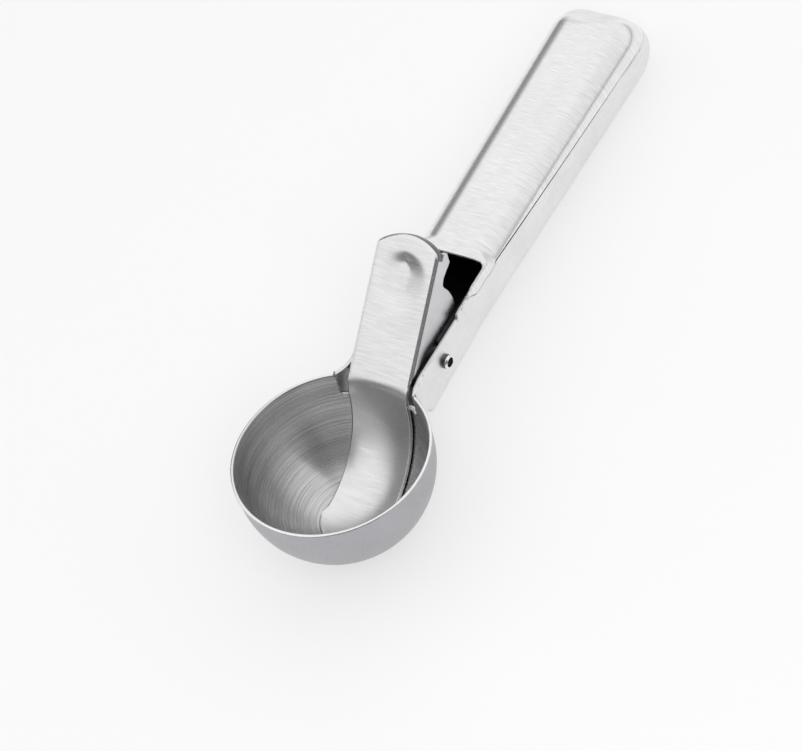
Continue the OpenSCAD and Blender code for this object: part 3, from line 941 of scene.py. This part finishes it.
def steel(name, colour, roughness, strokes, depth, blotch=0.05, rings=False, grain=None, pull=0.9, front=None):
    """Strokes are the sizes of a brush stroke in mm along the handle, across it, and up; depth is how much darker
    they are, and blotch the clouds. Grain is the way that the strokes run, pull how much they draw a reflection
    out, and front the direction that a flat face looks: what bends away from it is drawn darker, painted shade."""
    mat = bpy.data.materials.new(name)
    mat.use_nodes = True
    tree = mat.node_tree
    shader = tree.nodes["Principled BSDF"]
    shader.inputs["Metallic"].default_value = 1.0
    if grain:
        # strokes blur what is mirrored at right angles to them, so the pull is turned a quarter from the stroke
        shader.inputs["Anisotropic"].default_value = pull
        shader.inputs["Anisotropic Rotation"].default_value = 0.25
        if grain == "across":
            stroke = add_node(tree, "CombineXYZ", X=0.15, Y=1.0, Z=0.1)
        else:
            stroke = add_node(tree, "Tangent", {"direction_type": "RADIAL", "axis": grain})
        tree.links.new(stroke.outputs[0], shader.inputs["Tangent"])
    place = ring_place(tree) if rings else scoop_place(tree)
    stretched = add_node(tree, "Mapping", Vector=place, Scale=[1 / s for s in strokes])
    brush = add_node(tree, "TexNoise", Vector=stretched.outputs[0], Scale=1.0, Detail=3.0, Roughness=0.6)
    brush = brush.outputs["Fac"]
    broad = add_node(tree, "TexNoise", Vector=place, Scale=RING_CLOUD_SCALE if rings else CLOUD_SCALE,
                     Detail=2.0).outputs["Fac"]
    streak = add_node(tree, "MapRange", Value=brush, From_Min=NOISE_LOW, From_Max=NOISE_HIGH, To_Min=1 - depth)
    cloud = add_node(tree, "MapRange", Value=broad, From_Min=0.3, From_Max=0.7, To_Min=1 - blotch)
    tone = add_node(tree, "Math", {"operation": "MULTIPLY"}, _0=streak.outputs[0], _1=cloud.outputs[0])
    if front:
        # painted shade: what is bent away from the flat direction is drawn darker, for the dark that the folds
        # mirror
        normal = add_node(tree, "TexCoord").outputs["Normal"]
        facing = add_node(tree, "VectorMath", {"operation": "DOT_PRODUCT"}, _0=normal, _1=front)
        flatness = add_node(tree, "Math", {"operation": "ABSOLUTE"}, _0=facing.outputs["Value"])
        fold_shade = add_node(tree, "MapRange", SOFT_EDGE, Value=flatness.outputs[0], From_Min=0.48, From_Max=0.68,
                        To_Min=0.2)
        tone = add_node(tree, "Math", {"operation": "MULTIPLY"}, _0=tone.outputs[0], _1=fold_shade.outputs[0])
    tint = add_node(tree, "VectorMath", {"operation": "SCALE"}, _0=linear(colour)[:3], Scale=tone.outputs[0])
    rough = add_node(tree, "MapRange", Value=brush, From_Min=NOISE_LOW, From_Max=NOISE_HIGH,
                     To_Min=roughness * 1.15, To_Max=roughness * 0.9)
    bump = add_node(tree, "Bump", Height=brush, Strength=0.3, Distance=GROOVE * min(depth, DEEPEST))
    tree.links.new(tint.outputs[0], shader.inputs["Base Color"])
    tree.links.new(rough.outputs[0], shader.inputs["Roughness"])
    tree.links.new(bump.outputs[0], shader.inputs["Normal"])
    return mat


# %% [markdown]
# ## Finishes
# All of it is stainless steel, but each pressing is finished in its own way: the grip's cover brushed across,
# the trough left as the mill rolled it, the lever satin, the bowl turned inside. That is partly why they differ
# side by side; the rest is painted light and shade: dark insides, lighter insides where light comes in, grey
# flanges, a dark pin, bright edges and dark folds.

# %% Finishes of the handle
# brushed across its length: bright, and lamps draw out into long soft bands along the grip
brushed_cover = steel("stainless_brushed_across", "#fafafa", 0.3, (0.2, 5.0, 5.0), 0.17, blotch=0.03, grain="X")
# cold-rolled sheet as the mill leaves it: an even, pale, slightly milky sheen with no direction
mill_trough = steel("stainless_mill_trough", "#efeff0", 0.36, (1.2, 1.2, 1.2), 0.04)
# painted shade: the inside of the tube is coloured dark for the shade that fills it, dull and dark
dark_inside_shade = steel("stainless_inside_painted_shade", "#303030", 0.5, (1.5, 1.5, 1.5), 0.2)
# painted light: the inside of one cheek where light reaches, a lighter copy of the dark inside, dull
lit_cheek_inside = steel("stainless_cheek_inside_painted_light", "#585858", 0.5, (1.5, 1.5, 1.5), 0.2)
# painted light: the cheeks' inside by the bowl, where light comes in through the notch, a lighter grey copy of the
# dark inside, a little uneven
lit_inside_at_notch = steel("stainless_inside_painted_light_at_notch", "#b4b4b4", 0.4, (1.5, 1.5, 1.5), 0.2)
# a sheared and tumbled edge, with a painted highlight: a bright thin line wherever a sheet ends
edge_highlight = steel("stainless_cut_edge_painted_highlight", "#f6f6f6", 0.25, (1.0, 1.0, 1.0), 0.04)

# %% Finishes of the lever, the bowl and the pivot
pad_front = TO_TABLE.to_3x3() @ Vector((-1000 * pad_dir[1], 0, 1000 * pad_dir[0]))
# satin, brushed lightly across: soft streaks, and reflections only a little drawn out
satin_lever = steel("stainless_satin_lever", "#efefef", 0.3, (0.5, 6.0, 6.0), 0.06, grain="across", pull=0.4)
# the same on the thumb pad, with painted shade along its folds, which show as a dark outline
satin_pad = steel("stainless_satin_pad", "#efefef", 0.28, (0.5, 6.0, 6.0), 0.06, grain="across", pull=0.3,
                  front=pad_front)
# the flanges keep the mill's finish, greyer and smoother than the pad; the grey is partly painted shade on the
# sides
flange_steel_with_shade = steel("stainless_flange_mill_and_painted_shade", "#d6d6d9", 0.32, (4.0, 4.0, 4.0), 0.02)
# tumbled outside of the bowl: an even, blurred grey
satin_bowl = steel("stainless_satin_bowl", "#bcbcc0", 0.45, (0.5, 0.5, 0.5), 0.05)
# turned inside of the bowl: rings 0.2 mm apart, and a wedge of light that fans out from the middle
turned_bowl = steel("stainless_turned_bowl", "#e4e4e4", 0.27, (1.2, 0.2, 0.2), 0.45, blotch=0.1, rings=True,
                    grain="Z")
# turned bar for the pin, and drawn wire for the spring: darker, with marks round them or along them. The pin's dark
# grey is painted shade, for the dark that it mirrors
pin_steel = steel("stainless_pin", "#6c6c6c", 0.3, (1.0, 0.3, 1.0), 0.1)
spring_steel = steel("spring_wire_steel", "#8c8c8c", 0.3, (1.0, 1.0, 1.0), 0.1)
print("finishes:", sorted(mat.name for mat in bpy.data.materials if mat.name.startswith("stainless")))

# %% [markdown]
# A pressing has one finish outside, another inside and a third on its cut edge. The sheet's thickness adds one
# or two to a face's material number there, so the order of a piece's materials matters.

# %% Finishes on the pieces
# pairs of outside and inside: the trough, whose inside is painted shade; the tabs and one cheek, whose insides are
# painted light
trough_finishes = (mill_trough, dark_inside_shade, mill_trough, lit_inside_at_notch, mill_trough, lit_cheek_inside)
for obj, slot, finishes in (
        (bowl, "bowl_steel", (satin_bowl, turned_bowl, edge_highlight)),
        (channel, "handle_steel", trough_finishes),
        (cover, "handle_steel", (brushed_cover, dark_inside_shade, edge_highlight)),
        (lever, "lever_steel", (satin_lever, flange_steel_with_shade, satin_pad, edge_highlight)),
        (pin, "pin_steel", (pin_steel, edge_highlight)),
        (spring, "spring_steel", (spring_steel,))):
    for finish in finishes:
        obj.data.materials.append(finish)
# the ears and tabs take the flanges' grey, with its painted shade
for obj in bpy.context.scene.objects:
    if obj.name.startswith(("lever_ear", "lever_tab")):
        obj.data.materials.append(flange_steel_with_shade)
# the bush and washers take the pin's dark grey, painted shade too
for node in ("pivot_bush", "pivot_washers"):
    for holder in frame["nodes"][node].material_slots:
        holder.material = pin_steel
print("grip's finishes:", [holder.name for holder in cover.material_slots])

# %% [markdown]
# ## Camera
# A long lens from above and beside the bowl, so that the handle runs up to the right. Its three directions are
# given in the scoop's frame, and it is then laid down with the scoop.

# %% Camera
FRAME_W, FRAME_H = 802, 751
RIM_MIDDLE = (330.545, 453.639)  # pixel at which the middle of the bowl's rim lies
VIEW_RIGHT = Vector((0.4773, -0.8411, -0.2545))
VIEW_UP = Vector((0.7532, 0.2424, 0.6115))
VIEW_BACK = Vector((-0.4526, -0.4836, 0.7492))
CAMERA_AWAY = 2000.0
PIXELS_PER_MM = 3.812
AIM_OFFSET = ((FRAME_W / 2 - RIM_MIDDLE[0]) / PIXELS_PER_MM, (RIM_MIDDLE[1] - FRAME_H / 2) / PIXELS_PER_MM)
SENSOR_W = 36.0

look = (VIEW_RIGHT * AIM_OFFSET[0] + VIEW_UP * AIM_OFFSET[1] - VIEW_BACK * CAMERA_AWAY).normalized()
camera_right = look.cross(VIEW_UP).normalized()
camera_up = camera_right.cross(look)
camera_turn = Matrix((camera_right, camera_up, -look)).transposed()
camera_data = bpy.data.cameras.new("camera")
camera_data.sensor_width = SENSOR_W
camera_data.lens = SENSOR_W * CAMERA_AWAY * PIXELS_PER_MM / FRAME_W
camera_data.clip_end = 20
camera = bpy.data.objects.new("camera", camera_data)
camera.matrix_world = (Matrix.Translation(at_rest(VIEW_BACK * CAMERA_AWAY))
                       @ Matrix.Rotation(REST_TILT, 4, "Y") @ camera_turn.to_4x4())
bpy.context.scene.collection.objects.link(camera)
bpy.context.scene.camera = camera
print("lens, mm:", round(camera_data.lens))

# %% [markdown]
# ## Table
# A pale matt table. Brighter lamps would whiten it but wash out the steel. So it glows a little where the camera
# or the steel sees it, and looks white and still keeps the scoop's shadow.

# %% The table
GLOW = 0.55
bpy.ops.mesh.primitive_plane_add(size=6, location=(0, 0, -0.0004))
table = bpy.context.active_object
table.name = "table"
table_white = bpy.data.materials.new("table_white")
table_white.use_nodes = True
tree = table_white.node_tree
paint = tree.nodes["Principled BSDF"]
paint.inputs["Base Color"].default_value = linear("#f4f4f4")
paint.inputs["Roughness"].default_value = 0.9
rays = add_node(tree, "LightPath").outputs
seen = rays["Is Camera Ray"]
for ray in ("Is Glossy Ray", "Is Transmission Ray"):
    seen = add_node(tree, "Math", {"operation": "MAXIMUM"}, _0=seen, _1=rays[ray]).outputs[0]
glow_share = add_node(tree, "Math", {"operation": "MULTIPLY"}, _0=seen, _1=GLOW)
glow = add_node(tree, "Emission", Color=(1, 1, 1, 1), Strength=1.0)
surface = add_node(tree, "MixShader", _0=glow_share.outputs[0], _1=paint.outputs[0], _2=glow.outputs[0])
tree.links.new(surface.outputs[0], tree.nodes["Material Output"].inputs["Surface"])
table.data.materials.append(table_white)
print("table's nodes:", len(tree.nodes))

# %% [markdown]
# ## Light
# Steel shows its surroundings, so they are drawn as a studio for metal: a bright tent overhead, and dark below
# it with bright panels on some sides. Panels could be real objects. In the surround they are only a few soft
# edges, they add no noise, and they never come into the picture.

# %% The surround
DARK_LEVEL = 0.15
# each side: the level direction of its middle, the cosines at which it fades in and is full, and its strength
SIDES = {
    "front_flag": ((-0.682, -0.731, 0), 0.74, 0.80, 0.4),
    "side_flag": ((0.4, 0.917, 0), 0.9, 0.97, 0.12),
    "right_panel": ((0.917, -0.399, 0), 0.33, 0.42, 1.0),
    "back_panel": ((-0.174, 0.985, 0), 0.93, 0.98, 1.0),
    "end_screen": ((0.876, 0.484, 0), 0.92, 0.97, 1.0)}
studio = bpy.data.worlds.new("studio")
bpy.context.scene.world = studio
studio.use_nodes = True
tree = studio.node_tree
toward = add_node(tree, "TexCoord").outputs["Generated"]
x_way, y_way, up_way = add_node(tree, "SeparateXYZ", Vector=toward).outputs
level = add_node(tree, "CombineXYZ", X=x_way, Y=y_way)
level = add_node(tree, "VectorMath", {"operation": "NORMALIZE"}, _0=level.outputs[0])
share = {}
for name, (middle, fade_from, full_from, strength) in SIDES.items():
    facing = add_node(tree, "VectorMath", {"operation": "DOT_PRODUCT"}, _0=level.outputs[0], _1=middle)
    share[name] = add_node(tree, "MapRange", SOFT_EDGE, Value=facing.outputs["Value"], From_Min=fade_from,
                           From_Max=full_from, To_Max=strength).outputs[0]
print("sides of the surround:", sorted(share))

# %% The tent and its panels
# two flags raise the tent's lower edge: much in front, and a little beside the handle's end, which draws the dark
# stripe along the handle's corner
height = up_way
for name in ("front_flag", "side_flag"):
    height = add_node(tree, "Math", {"operation": "SUBTRACT"}, _0=height, _1=share[name]).outputs[0]
bright = add_node(tree, "MapRange", SOFT_EDGE, Value=height, From_Min=0.43, From_Max=0.55).outputs[0]
# two panels stand a little above the table, and the screen past the handle's end reaches down to it
above_table = add_node(tree, "MapRange", SOFT_EDGE, Value=up_way, From_Min=0.05, From_Max=0.14).outputs[0]
for name in ("right_panel", "back_panel"):
    share[name] = add_node(tree, "Math", {"operation": "MULTIPLY"}, _0=share[name], _1=above_table).outputs[0]
for name in ("right_panel", "back_panel", "end_screen"):
    bright = add_node(tree, "Math", {"operation": "MAXIMUM"}, _0=bright, _1=share[name]).outputs[0]
bright = add_node(tree, "MapRange", Value=bright, To_Min=DARK_LEVEL).outputs[0]
# straight at the camera it is plain white
straight = add_node(tree, "LightPath").outputs["Is Camera Ray"]
bright = add_node(tree, "Math", {"operation": "MAXIMUM"}, _0=bright, _1=straight).outputs[0]
tree.links.new(bright, tree.nodes["Background"].inputs["Color"])
tree.nodes["Background"].inputs["Strength"].default_value = 1.0
print("surround's nodes:", len(tree.nodes))

# %% [markdown]
# One soft lamp gives the table its shadow. The steel doesn't mirror it, so it adds no hot spot.

# %% The lamp
KEY_PLACE = Vector((-0.6, -0.9, 1.2))
key_data = bpy.data.lights.new("key", "AREA")
key_data.size = 0.9
key_data.energy = 9
key = bpy.data.objects.new("key", key_data)
key.location = KEY_PLACE
key.rotation_euler = (-KEY_PLACE).to_track_quat("-Z", "Y").to_euler()
key.visible_glossy = False
bpy.context.scene.collection.objects.link(key)
print("lamp, m away:", round(KEY_PLACE.length, 2))

# %% [markdown]
# ## Finish
# Standard colour.

# %% Finish
bpy.context.scene.view_settings.view_transform = "Standard"
